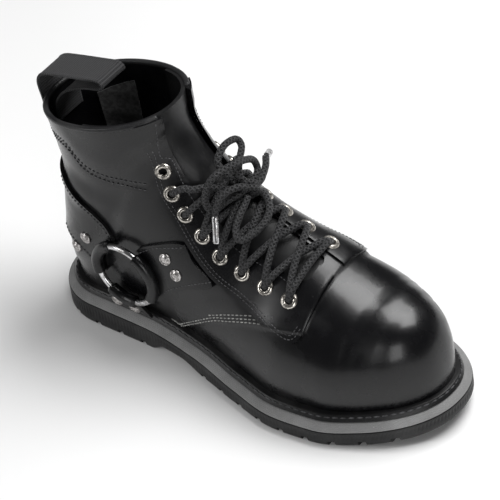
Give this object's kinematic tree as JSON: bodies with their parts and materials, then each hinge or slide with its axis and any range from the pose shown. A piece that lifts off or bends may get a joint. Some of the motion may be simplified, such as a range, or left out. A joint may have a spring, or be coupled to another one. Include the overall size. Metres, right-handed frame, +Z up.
{
  "type": "harness boot",
  "caption": "Right lace-up ankle boot with a side ring held by three riveted straps, an inner zip, a pull loop and a lugged rubber sole.",
  "frame": {"origin": "on the ground under the middle of the heel", "axes": "+X to the toe, +Y to the inner (medial) side, +Z up"},
  "size_m": [0.296, 0.1154, 0.191],
  "materials": {
    "black_rubber": "matt black moulded rubber with fine ribs",
    "grey_rubber": "matt grey rubber with a fine crosswise hatch",
    "footbed_cloth": "black footbed cloth",
    "black_leather": "polished black box leather with a soft broad shine",
    "strap_leather": "black strap leather with edge stitching",
    "aged_nickel": "darkened nickel, worn bright on the rims",
    "steel": "polished, lightly worn steel",
    "lace_cord": "black braided round lace",
    "woven_tape": "black ribbed woven tape"
  },
  "bodies": {
    "boot": {"outsole": "black_rubber", "midsole_band": "grey_rubber", "welt": "black_rubber", "insole": "footbed_cloth", "upper": "black_leather", "tongue": "black_leather", "facing_lateral": "black_leather", "facing_medial": "black_leather", "eyelet_lateral_1": "aged_nickel", "eyelet_medial_1": "aged_nickel", "eyelet_lateral_2": "aged_nickel", "eyelet_medial_2": "aged_nickel", "eyelet_lateral_3": "aged_nickel", "eyelet_medial_3": "aged_nickel", "eyelet_lateral_4": "aged_nickel", "eyelet_medial_4": "aged_nickel", "eyelet_lateral_5": "aged_nickel", "eyelet_medial_5": "aged_nickel", "eyelet_lateral_6": "aged_nickel", "eyelet_medial_6": "aged_nickel", "eyelet_lateral_7": "aged_nickel", "eyelet_medial_7": "aged_nickel", "eyelet_lateral_8": "aged_nickel", "eyelet_medial_8": "aged_nickel", "strap_heel": "strap_leather", "strap_front": "strap_leather", "strap_tab": "strap_leather", "rivet_heel_upper": "steel", "rivet_heel_lower": "steel", "rivet_front_upper": "steel", "rivet_front_lower": "steel", "rivet_tab_back": "steel", "rivet_tab_front": "steel", "lace_crossing_1": "lace_cord", "lace_crossing_2": "lace_cord", "lace_crossing_3": "lace_cord", "lace_crossing_4": "lace_cord", "lace_bar": "lace_cord", "lace_knot": "lace_cord", "lace_loop_upper": "lace_cord", "lace_loop_lower": "lace_cord", "lace_loop_top": "lace_cord", "lace_end_lateral": "lace_cord", "lace_end_medial": "lace_cord", "lace_run_lateral": "lace_cord", "aglet_lateral": "steel", "aglet_medial": "steel", "zip_chain": "steel", "zip_slider": "steel", "pull_loop": "woven_tape"},
    "ring": {"harness_ring": "steel"},
    "pull": {"zip_pull": "steel"}
  },
  "joints": [
    {"name": "harness_ring_turn", "type": "hinge", "parent": "boot", "child": "ring", "pos_m": [0.03915, -0.04127, 0.06279], "axis": [0, 1, 0], "continuous": true},
    {"name": "zip_pull_swing", "type": "hinge", "parent": "boot", "child": "pull", "pos_m": [0.03915, 0.03905, 0.13766], "axis": [0.963, -0.2697, 0], "range_deg": [0, 138]}
  ]
}
